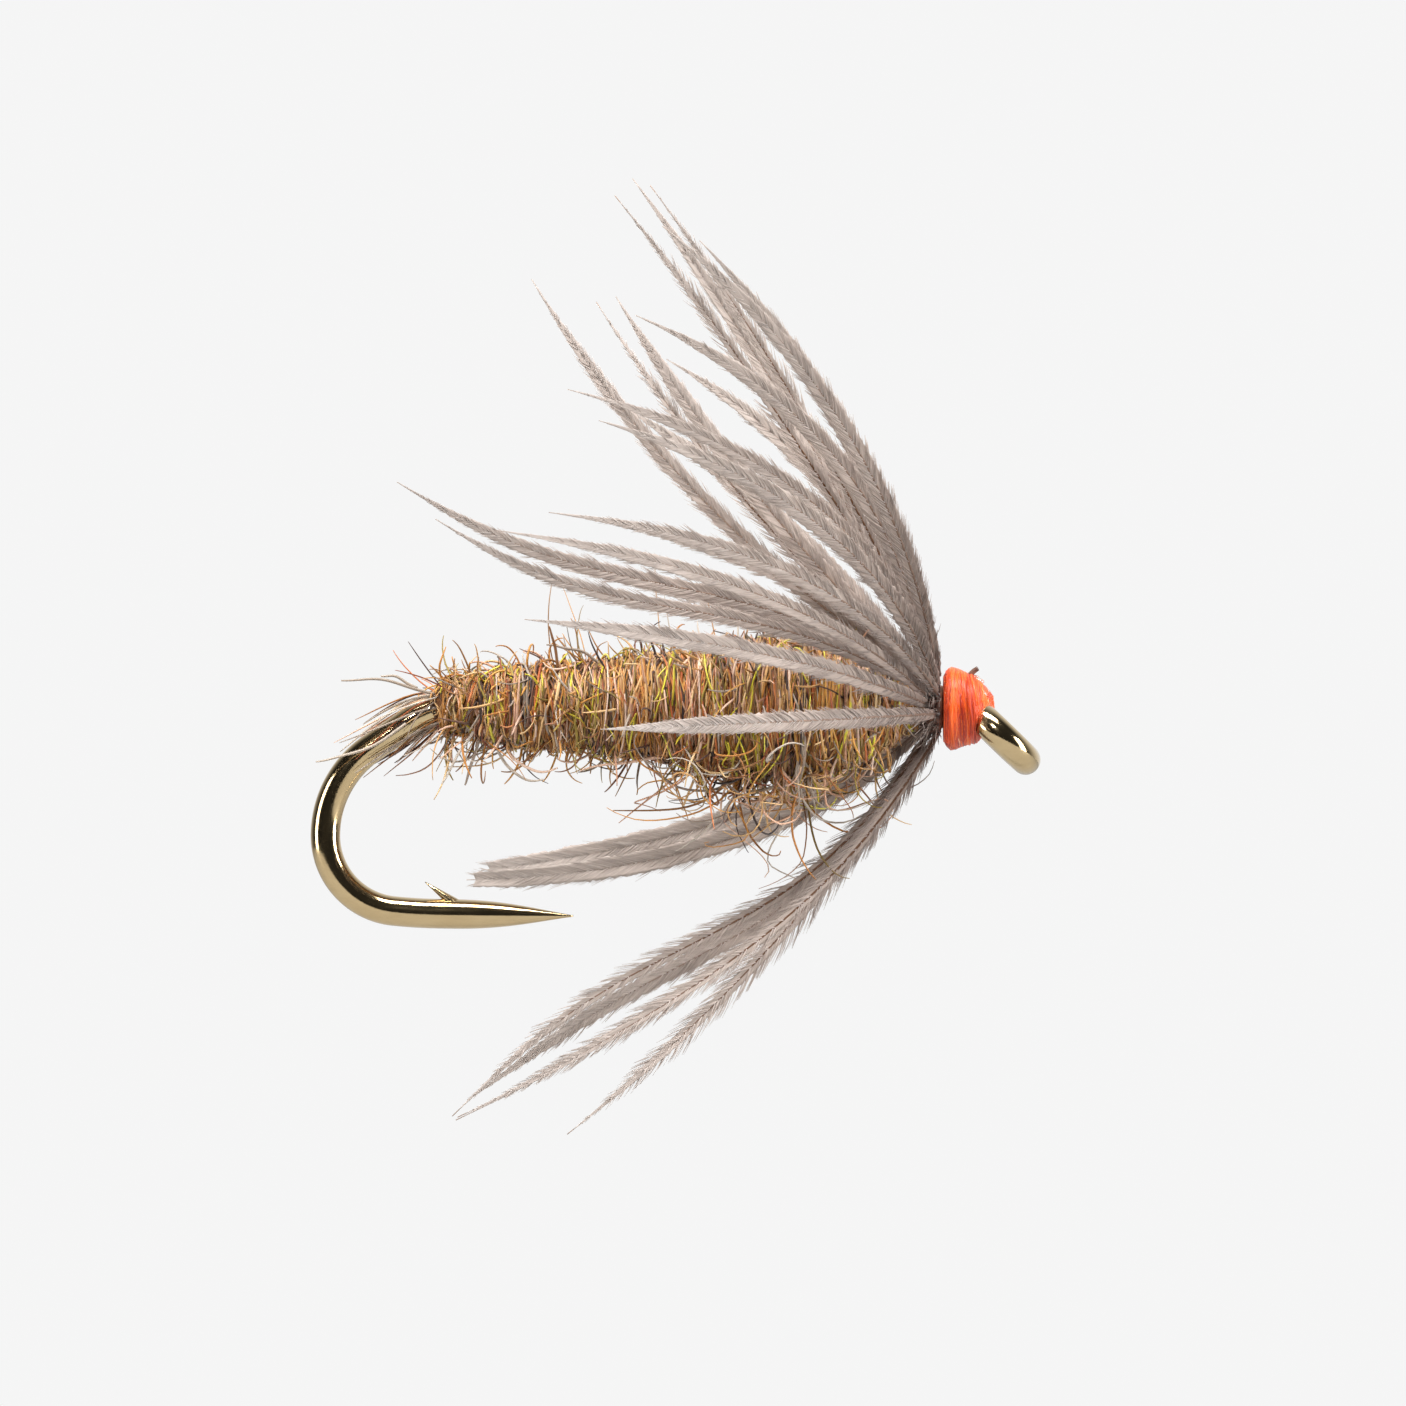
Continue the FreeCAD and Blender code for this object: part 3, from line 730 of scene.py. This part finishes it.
def make_tail(mats):
    """Fibre ends bound in at the rear, lying back along the bend."""
    n, m = 44, 12
    t = np.linspace(0, 1, m)[None]
    a = RNG.uniform(0, TAU, (n, 1))
    length = RNG.uniform(0.7, 2.0, (n, 1))
    s = 0.30 + length * t
    x, z, lean = bend_point(s)
    splay = RNG.uniform(0.0, 0.34, (n, 1))
    off = WIRE_R + 0.05 + splay * t ** 2 + 0.10 * np.sin(np.pi * t) * RNG.uniform(-0.3, 1, (n, 1))
    up = np.stack([np.sin(lean) * -1.0, np.zeros_like(lean), np.cos(lean)], -1)
    mid = np.stack([x, np.zeros_like(x), z], -1)
    turn = a + RNG.normal(0, 0.5, (n, 1)) * t
    p = (mid + np.array([0, -1.0, 0]) * (np.cos(turn) * off)[..., None]
         + up * (np.sin(turn) * off)[..., None])
    rad = RNG.uniform(0.012, 0.026, (n, 1)) * (1 - 0.7 * t ** 3)
    long_set = curls(7, -10.05, -9.7, 20, 160, (0.9, 1.7), (0.1, 0.9), (0.4, 1.0), thick=(0.012, 0.018))
    low_set = curls(14, -10.0, -9.3, 215, 320, (0.6, 1.5), (0.3, 1.6), (0.4, 1.2))
    loose_piece("tail_butts", [(p, rad), long_set, low_set], mats, TAIL_SHARE, ["tail_fibres"])


# start, end and sag of single pale hairs that stand clear of the body
STRAYS = [
    ((-10.10, -0.25, 0.75), (-11.75, -0.45, 1.02), 0.10),
    ((-10.60, -0.36, 0.22), (-12.20, -0.42, -0.42), -0.16),
    ((-10.40, -0.20, 0.85), (-11.05, -0.30, 1.10), 0.06),
    ((-5.95, -0.35, -0.38), (-7.50, -0.60, -0.60), 0.05),
    ((-9.40, -0.50, 0.10), (-9.95, -0.60, -0.82), 0.06),
    ((-9.30, -0.45, -0.05), (-9.55, -0.50, -0.85), -0.10),
    ((-9.00, -0.40, -0.15), (-8.15, -0.60, -0.75), -0.22),
    ((-8.80, -0.40, -0.20), (-7.90, -0.55, -0.55), -0.20),
    ((-7.90, -0.55, 1.25), (-8.05, -0.70, 1.95), 0.05),
    ((-7.20, -0.40, 1.35), (-8.10, -0.55, 1.62), 0.08),
]
STRAY_R = 0.027
STRAY_SHARE = np.array([0.1, 0, 0, 0.2, 0, 0.1, 0.6, 0])


def make_strays(mats):
    """Single stiff hairs, each nearly straight and thinner toward its tip."""
    t = np.linspace(0, 1, 20)[:, None]
    paths = []
    for start, end, sag in STRAYS:
        a, b = np.array(start), np.array(end)
        wave = (np.array([0.3, 0.0, 1.0]) * sag * np.sin(np.pi * t)
                + 0.02 * np.sin(9 * t + a[0]) * np.array([0, 0, 1.0]))
        paths.append(a + (b - a) * t + wave)
    rad = np.tile(STRAY_R * (1 - 0.5 * t[:, 0] ** 3), (len(paths), 1))
    loose_piece("stray_hairs", [(np.array(paths), rad)], mats, STRAY_SHARE, [])


# ---- thread head ----
# middle of the head, which the nose leans about
HEAD_Z = SHANK_Z - COLLAR_DROP
HEAD_PIVOT = (NOSE[0][0], HEAD_Z)


def wrap_strands(profile, tilt, wraps, lean, wider, floss=9, m=40):
    """Turns of floss on a wound head: each turn is a band of fine filaments side by side.

    The paths, radii and tones of all filaments.
    """
    xs = np.array([p[0] for p in profile])
    rs = np.array([p[1] for p in profile])
    overlap = 0.04 if tilt else 0.0
    lo, hi = xs[0] - overlap, xs[-1] - 0.01
    n = wraps * floss
    t = np.linspace(0, 1, m)[None]
    band = np.repeat(np.arange(wraps), floss)
    off = np.tile(np.linspace(-1, 1, floss), wraps)[:, None]
    x0 = (lo + (hi - lo) * (RNG.permutation(wraps) + 0.5) / wraps)[band][:, None]
    slope = RNG.normal(0, lean, wraps)[band][:, None]
    a0 = RNG.uniform(0, TAU, wraps)[band][:, None]
    span = RNG.uniform(2.6, 6.0, wraps)[band][:, None]
    level = RNG.uniform(-0.012, 0.040, wraps)[band][:, None]
    wide = RNG.uniform(0.055, 0.085, wraps)[band][:, None]
    a = a0 + span * t
    weave = 0.012 * np.sin(5 * a + off * 4 + a0)
    x = np.clip(x0 + slope * np.sin(a + a0) + off * wide + weave, lo, hi)
    r = np.interp(x, xs, rs) - 0.014 + level + 0.022 * (1 - off ** 2) + RNG.normal(0, 0.004, (n, 1))
    p = np.stack([x, -r * wider * np.cos(a), HEAD_Z + r * np.sin(a)], -1)
    if tilt:
        p = tilted(p, tilt, HEAD_PIVOT)
    rad = RNG.uniform(0.012, 0.018, (n, 1)) * (0.4 + 0.6 * np.minimum(1, np.minimum(t, 1 - t) * 10))
    tone = np.clip(0.45 + 0.28 * RNG.normal(0, 1, wraps)[band] + RNG.normal(0, 0.16, n), 0, 1)
    return p, rad, tone


def make_head():
    """Collar and nose of wound thread over a closed inner form, with varnish on them."""
    mat, under = thread_mat(), shadow_mat()
    for name, profile, tilt, wraps, lean, wider, node in (
            ("thread_collar_wraps", COLLAR, 0.0, 46, 0.10, 1.0, "thread_collar"),
            ("thread_nose_wraps", NOSE, NOSE_TILT, 30, 0.07, 1.24, "thread_nose")):
        inner = [(x, r * 0.955) for x, r in profile]
        v1, f1 = lathe(inner, HEAD_Z, tilt, HEAD_PIVOT, around=64, steps=26)
        v1[:, 1] *= wider
        p, rad, shade = wrap_strands(profile, tilt, wraps, lean, wider)
        v2, f2, _ = tubes(p, rad, 5, flat=0.8)
        v, f = join([(v1, f1), (v2, f2)])
        index = [1] * len(f1) + [0] * len(f2)
        tone = np.concatenate([np.zeros(len(v1)), np.repeat(shade, p.shape[1] * 5)])
        ob = piece(name, v, f, [mat, under], index, {"tone": tone})
        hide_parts(node)
        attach(ob, BODY)
    make_varnish()


def varnish_mat():
    """Clear varnish over the thread."""
    m = Mat("head_varnish")
    fine = m.noise(9000.0, 3.0, 0.6)
    col = m.mix(fine, srgb(216, 178, 160), srgb(246, 232, 222))
    return m.finish(m.principled(Base_Color=col, Roughness=m.span(fine, 0.08, 0.25), Alpha=0.75,
                                 Transmission_Weight=0.5, Coat_Weight=1.0, Coat_Roughness=0.05,
                                 Normal=m.bump(fine, 0.5, 0.00003)))


def bead(size):
    """A small rounded drop, longer along X."""
    rows, sides = 7, 12
    u, w = np.meshgrid(np.linspace(0, np.pi, rows + 2)[1:-1], np.linspace(0, TAU, sides + 1)[:-1],
                       indexing="ij")
    ball = np.stack([np.sin(u) * np.cos(w) * 1.5, np.sin(u) * np.sin(w), np.cos(u)], -1).reshape(-1, 3)
    ball = np.concatenate([ball, [[0, 0, 1], [0, 0, -1]]]) * size
    last = (rows - 1) * sides
    top = rows * sides
    faces = []
    for j in range(sides):
        j2 = (j + 1) % sides
        faces += [[i + j, i + sides + j, i + sides + j2, i + j2] for i in range(0, last, sides)]
        faces.append([top, j, j2])
        faces.append([top + 1, last + j2, last + j])
    return ball, faces


def make_varnish():
    """Small beads of varnish left on the front of the thread and round the root of the eye."""
    parts = []
    xs, rs = zip(*NOSE)
    for k in range(26):
        a = math.radians(RNG.uniform(-40, 40) + (0 if k % 2 else 90) + (180 if k % 5 == 0 else 0))
        x = RNG.uniform(-0.52, -0.20)
        r = float(np.interp(x, xs, rs)) + 0.005
        ball, faces = bead(RNG.uniform(0.025, 0.060))
        parts.append((ball + np.array([x, -r * math.cos(a), HEAD_Z + r * math.sin(a)]), faces))
    v, f = join(parts)
    ob = piece("head_varnish", v, f, [varnish_mat()])
    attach(ob, BODY)


# ---- hackle ----
def around(deg):
    """Direction out from the shank, in degrees up from the near side."""
    a = math.radians(deg)
    return np.array([0.0, -math.cos(a), math.sin(a)])


def fibre_path(fibre, t):
    """Middle line of a fibre at each t, in millimetres."""
    turn, root, lean, back, out, bow, wave = fibre
    slope = math.atan2(out, back)
    t = np.asarray(t, float)
    shift = bow * 4 * t * (1 - t) + wave * np.sin(2 * np.pi * t)
    along = -back * t + shift * math.sin(slope)
    away = out * t + shift * math.cos(slope)
    base = np.array([TURN_X[turn], 0, SHANK_Z]) + around(root) * ROOT_R
    return base + along[..., None] * np.array([1.0, 0, 0]) + away[..., None] * around(lean)


def fibre_frame(fibre, t):
    """Place, direction, broad direction and thin direction at each t."""
    p = fibre_path(fibre, t)
    ahead = norm(fibre_path(fibre, np.minimum(1, t + 0.01)) - fibre_path(fibre, np.maximum(0, t - 0.01)))
    broad = norm(np.stack([-ahead[..., 2], np.zeros(len(t)), ahead[..., 0]], -1))
    broad = norm(broad - ahead * np.sum(broad * ahead, -1, keepdims=True))
    return p, ahead, broad, np.cross(ahead, broad)


# half width of a fibre's web and barbules along it
VANE = [(0.0, 0.07), (0.04, 0.13), (0.10, 0.17), (0.20, 0.195), (0.35, 0.205), (0.60, 0.20),
        (0.76, 0.165), (0.87, 0.095), (0.94, 0.04), (1.0, 0.010)]
# fibres, by number, that are wider than the rest, and those whose barbules stand apart
BROADER = {24: 1.4, 25: 1.4, 26: 1.1, 27: 1.1, 28: 1.15, 29: 1.15, 30: 1.1}
OPEN = (12, 13, 17, 27, 28, 29, 30)
# moving bodies and the fibres on each
GROUPS = {"hackle_side": (1, 2), "hackle_side_upper": (3, 4), "hackle_over_body": (5, 7),
          "hackle_shoulder": (6, 8), "hackle_top_near": (9, 10, 11), "hackle_top": (12, 13, 14),
          "hackle_top_rear": (15, 16, 17), "hackle_top_far": (18, 19), "hackle_far_upper": (20, 21),
          "hackle_far_side": (22, 23), "hackle_far_lower": (24, 25),
          "hackle_throat_far": (26, 27, 28), "hackle_throat_near": (29, 30)}


def half_width(t, wide):
    """Reach of the barbules either side of the stalk."""
    end = 0.82 if wide > 1.25 else 1.0   # the widest ones end bluntly
    return wide * np.interp(np.asarray(t) * end, [a for a, _ in VANE], [b for _, b in VANE])


def vane_web(fibre, rng, wide, share):
    """Thin closed web of a barb: vertices, faces, and its place along and across."""
    k, c = 170, 9
    t = np.linspace(0.012, 0.985, k)
    p, ahead, broad, thin = fibre_frame(fibre, t)
    half = half_width(t, wide) * share
    across = np.linspace(-1, 1, c)
    edge = 1 + 0.07 * rng.normal(0, 1, (k, 2))
    far = np.abs(across)[None]
    half_at = half[:, None]
    ripple = 0.020 * np.sin(23 * t[:, None] + rng.random() * 6 + 2.2 * across[None]) * far
    dihedral = 0.16 + 0.10 * math.sin(rng.random() * 6)
    width = np.where(across[None] < 0, edge[:, :1], edge[:, 1:]) ** (far ** 4)
    mid = (p[:, None] + broad[:, None] * (half_at * across[None] * width)[..., None]
           + thin[:, None] * (dihedral * half_at * far + ripple * half_at * 4)[..., None]
           + ahead[:, None] * (0.10 * far * half_at * 4)[..., None])
    thick = (0.011 - 0.007 * far)[..., None] * thin[:, None]
    verts = np.concatenate([(mid + thick).reshape(-1, 3), (mid - thick).reshape(-1, 3)])
    n = k * c
    faces = []
    for i in range(k - 1):
        for j in range(c - 1):
            a, b = i * c + j, (i + 1) * c + j
            faces.append([a, a + 1, b + 1, b])
            faces.append([n + a, n + b, n + b + 1, n + a + 1])
        a, b = i * c, (i + 1) * c
        faces.append([a, b, n + b, n + a])
        faces.append([a + c - 1, n + a + c - 1, n + b + c - 1, b + c - 1])
    for j in range(c - 1):
        faces.append([j, n + j, n + j + 1, j + 1])
        a = (k - 1) * c + j
        faces.append([a, a + 1, n + a + 1, n + a])
    return verts, faces, np.tile(np.repeat(t, c), 2), np.tile(np.tile(across, k), 2)


def barbules(fibre, rng, sign, wide, n, m=4):
    """One row of barbules: fine strands that run out from the stalk past the web's edge."""
    grid = np.linspace(0.02, 0.97, 300)
    dense = np.cumsum(half_width(grid, wide) ** 0.8)
    t0 = np.sort(np.interp(rng.random(n), dense / dense[-1], grid))
    q, ahead, broad, thin = fibre_frame(fibre, t0)
    half = half_width(t0, wide)
    clump = np.interp(t0 * 90, np.arange(92), rng.normal(0, 1, 92))
    angle = np.radians(30 - 8 * t0 + 2.2 * clump + rng.normal(0, 1.6, n))
    length = half / np.sin(np.radians(26)) * (1.04 + 0.06 * clump + rng.normal(0, 0.09, n))
    u = np.linspace(0, 1, m)[None, :, None]
    run = length[:, None, None] * u
    ang = angle[:, None, None] * (1.15 - 0.32 * u)
    face = (np.where(rng.random(n) < 0.5, 1, -1) * rng.uniform(0.006, 0.020, n))[:, None]
    lift = thin[:, None] * (face[:, None] + 0.20 * np.sin(ang) * run)
    path = (q[:, None] + ahead[:, None] * run * np.cos(ang)
            + (broad * sign)[:, None] * run * np.sin(ang) + lift)
    rad = (0.0085 + 0.003 * rng.random((n, 1))) * (1 - 0.75 * np.linspace(0, 1, m)[None] ** 1.6)
    v, f, _ = tubes(path, rad, 3, flat=0.6, first=norm(np.cross(thin, ahead)))
    calm = np.clip(half / 0.14, 0.15, 1)
    tone = np.clip(0.40 + (0.24 * clump + rng.normal(0, 0.18, n)) * calm, 0, 1)
    return v, f, np.repeat(t0, m * 3), np.repeat(tone, m * 3)


def make_fibre(number, mats):
    """A hackle barb: its stalk, its web and two rows of barbules."""
    fibre = FIBRES[number - 1]
    rng = np.random.default_rng(499 + number)
    name = "hackle_fibre_%02d" % number
    ts = np.linspace(0, 1, 44)
    p, _, broad, _ = fibre_frame(fibre, ts)
    stalk = 0.026 * (1 - ts) ** 0.8 + 0.008
    wide = BROADER.get(number, 1.0) * rng.uniform(0.90, 1.08)
    loose = number in OPEN
    share = 0.40 if loose else rng.uniform(0.66, 0.84)
    v1, f1, _ = tubes(p[None], stalk[None], 6, flat=0.8, first=broad[:1])
    v2, f2, along2, across2 = vane_web(fibre, rng, wide, share)
    rows = [barbules(fibre, rng, sign, wide, 230 if loose else 330) for sign in (-1, 1)]
    v, f = join([(v1, f1), (v2, f2)] + [(r[0], r[1]) for r in rows])
    index = [3 if loose else 1] * len(f1) + [2] * len(f2) + [0] * (len(f) - len(f1) - len(f2))
    along = np.concatenate([np.repeat(ts, 6), along2] + [r[2] for r in rows])
    tone = np.concatenate([np.full(len(v1), 0.4), np.full(len(v2), 7.0 * (number - 1))]
                          + [r[3] for r in rows])
    across = np.concatenate([np.zeros(len(v1)), across2, np.zeros(len(v) - len(v1) - len(v2))])
    ob = piece(name + "_web", v, f, mats, index,
               {"along": along, "tone": tone, "across": across})
    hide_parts(name)
    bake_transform(ob)


def make_hackle():
    """All the fibres of the hackle, each as its own piece."""
    web = hackle_mat("hackle_barbules", (136, 116, 107), (228, 213, 203), (224, 214, 206))
    stalk = hackle_mat("hackle_stalk", (104, 80, 66), (164, 138, 120), (200, 184, 172), 0.15)
    brown = hackle_mat("hackle_stalk_brown", (84, 56, 38), (112, 78, 52), (176, 150, 132), 0.05)
    vane = vane_mat()
    for body, members in GROUPS.items():
        for number in members:
            make_fibre(number, [web, stalk, vane, brown])


def make_turns():
    """The hackle's stem wound behind the head."""
    t = np.linspace(0, 1, 150)
    a = TAU * 2.1 * t
    x = TURN_X[1] + (TURN_X[0] - TURN_X[1]) * t
    r = TURN_MEAN_R + 0.01 * np.sin(5 * a)
    p = np.stack([x, -r * np.cos(a), SHANK_Z + r * np.sin(a)], -1)
    v, f, _ = tubes(p[None], TURN_WIRE_R, 10, first=np.array([[1.0, 0, 0]]))
    inner = lathe([(-1.36, 0.34), (-1.30, 0.40), (-1.10, 0.40), (-1.03, 0.36)], SHANK_Z,
                  around=48, steps=8)
    v, f = join([(v, f), inner])
    ob = piece("hackle_stem_wound", v, f, [stem_mat()])
    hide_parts("hackle_stem_turns")
    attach(ob, BODY)


def make_fluff():
    """Short soft barbules round the roots of the fibres."""
    n, m = 300, 6
    u = np.linspace(0, 1, m)[None]
    a = RNG.uniform(0, TAU, (n, 1))
    lift = RNG.uniform(0.10, 0.42, (n, 1))
    x0 = RNG.uniform(-1.40, -1.08, (n, 1))
    r = ROOT_R - 0.03 + lift * u
    x = x0 - lift * RNG.uniform(0.1, 1.2, (n, 1)) * u + 0.08 * u * u
    a = a + RNG.normal(0, 0.20, (n, 1)) * u
    p = np.stack([x, -r * np.cos(a), SHANK_Z + r * np.sin(a)], -1)
    rad = RNG.uniform(0.010, 0.016, (n, 1)) * (1 - 0.7 * u ** 2)
    v, f, _ = tubes(p, rad, 3)
    mat = hackle_mat("hackle_root_fluff", (140, 120, 110), (204, 188, 178), (222, 210, 202))
    along = np.tile(np.repeat(np.linspace(0, 0.8, m), 3), n)
    tone = np.repeat(RNG.random(n), m * 3)
    ob = piece("hackle_root_fluff", v, f, [mat], values={"along": along, "tone": tone})
    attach(ob, BODY)


def make_stub():
    """Trimmed end of the stem standing out of the thread."""
    a, b = np.array([-0.64, -0.12, 1.00]), np.array([-0.43, -0.17, 1.22])
    t = np.linspace(0, 1, 14)
    p = a + (b - a) * t[:, None] + np.array([0, 0, 0.03]) * np.sin(np.pi * t)[:, None]
    v, f, _ = tubes(p[None], (0.055 * (1 - 0.2 * t))[None], 10)
    ob = piece("hackle_stem_stub", v, f, [stem_mat()])
    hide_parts("hackle_stem_end")
    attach(ob, BODY)


# ---- stage, light and camera ----
# metres
MIDDLE_X = -0.0053
FLOOR_R = 0.16
FLOOR_Z = -0.026
CAMERA_AT = (-0.00532, -0.25, 0.000605)
LENS_MM = 359.6


def make_stage():
    """A round pale floor, well below the fly."""
    me = bpy.data.meshes.new("floor")
    n = 96
    turn = [TAU * k / n for k in range(n)]
    verts = [[MIDDLE_X + FLOOR_R * math.cos(a), FLOOR_R * math.sin(a), FLOOR_Z] for a in turn]
    me.from_pydata(verts, [], [list(range(n))])
    ob = bpy.data.objects.new("floor", me)
    bpy.context.scene.collection.objects.link(ob)
    m = Mat("pale_floor")
    fine = m.noise(300.0, 3.0)
    col = m.mix(fine, srgb(158, 158, 157), srgb(166, 166, 165))
    me.materials.append(m.finish(m.principled(Base_Color=col, Roughness=0.8)))


def make_world():
    """Pale behind, dim in front and to the left, as in a small studio tent."""
    world = bpy.data.worlds.new("pale")
    bpy.context.scene.world = world
    world.use_nodes = True
    tree = world.node_tree
    tree.nodes.clear()
    out = tree.nodes.new("ShaderNodeOutputWorld")
    back = tree.nodes.new("ShaderNodeBackground")
    coord = tree.nodes.new("ShaderNodeTexCoord")
    split = tree.nodes.new("ShaderNodeSeparateXYZ")
    tree.links.new(coord.outputs["Generated"], split.inputs[0])

    def fade(axis, low, high, dim):
        """Level that rises from dim to 1 along an axis."""
        span = tree.nodes.new("ShaderNodeMapRange")
        span.interpolation_type = "SMOOTHSTEP"
        span.inputs["From Min"].default_value = low
        span.inputs["From Max"].default_value = high
        span.inputs["To Min"].default_value = dim
        tree.links.new(split.outputs[axis], span.inputs["Value"])
        return span.outputs["Result"]

    def join_math(kind, one, two):
        """One sum on two levels."""
        node = tree.nodes.new("ShaderNodeMath")
        node.operation = kind
        tree.links.new(one, node.inputs[0])
        tree.links.new(two, node.inputs[1])
        return node.outputs[0]

    sides = join_math("MULTIPLY", fade("Y", -0.05, 0.85, 0.03), fade("X", -1.0, -0.1, 0.35))
    level = join_math("MAXIMUM", sides, fade("Y", 0.90, 0.97, 0.0))
    tint = tree.nodes.new("ShaderNodeCombineColor")
    for k in range(3):
        tree.links.new(level, tint.inputs[k])
    tree.links.new(tint.outputs[0], back.inputs["Color"])
    back.inputs["Strength"].default_value = 0.915
    tree.links.new(back.outputs[0], out.inputs[0])


def lamp(name, at, size, power, colour=(1, 1, 1)):
    """A soft box that faces the fly."""
    data = bpy.data.lights.new(name, "AREA")
    data.shape = "RECTANGLE"
    data.size, data.size_y = size
    data.energy = power
    data.color = colour
    ob = bpy.data.objects.new(name, data)
    bpy.context.scene.collection.objects.link(ob)
    ob.location = at
    ob.rotation_euler = (Vector((-0.005, 0, 0.001)) - Vector(at)).to_track_quat("-Z", "Y").to_euler()


def make_lights():
    """Soft boxes above, beside, below and in front."""
    lamp("top", (-0.02, -0.055, 0.20), (0.16, 0.07), 0.82)
    lamp("left", (-0.20, -0.060, 0.03), (0.07, 0.14), 0.24, (1.0, 0.99, 0.97))
    lamp("right", (0.20, -0.060, 0.03), (0.07, 0.14), 0.54)
    lamp("low", (0.0, -0.055, -0.19), (0.14, 0.07), 0.46)
    lamp("front_low", (0.03, -0.26, -0.13), (0.04, 0.03), 0.26)
    lamp("front_soft", (-0.08, -0.24, 0.15), (0.04, 0.03), 0.34)


def make_camera():
    """A long lens square to the hook's side."""
    data = bpy.data.cameras.new("camera")
    data.sensor_width = 36.0
    data.lens = LENS_MM
    data.clip_start = 0.01
    data.clip_end = 5.0
    ob = bpy.data.objects.new("camera", data)
    ob.location = CAMERA_AT
    ob.rotation_euler = (math.radians(90), 0, 0)
    bpy.context.scene.collection.objects.link(ob)
    bpy.context.scene.camera = ob
    bpy.context.scene.view_settings.view_transform = "Standard"


make_hook()
families = fur_families()
make_body(families)
make_flash(families[7])
make_tail(families)
make_strays(families)
make_head()
make_hackle()
make_turns()
make_fluff()
make_stub()
make_stage()
make_world()
make_lights()
make_camera()
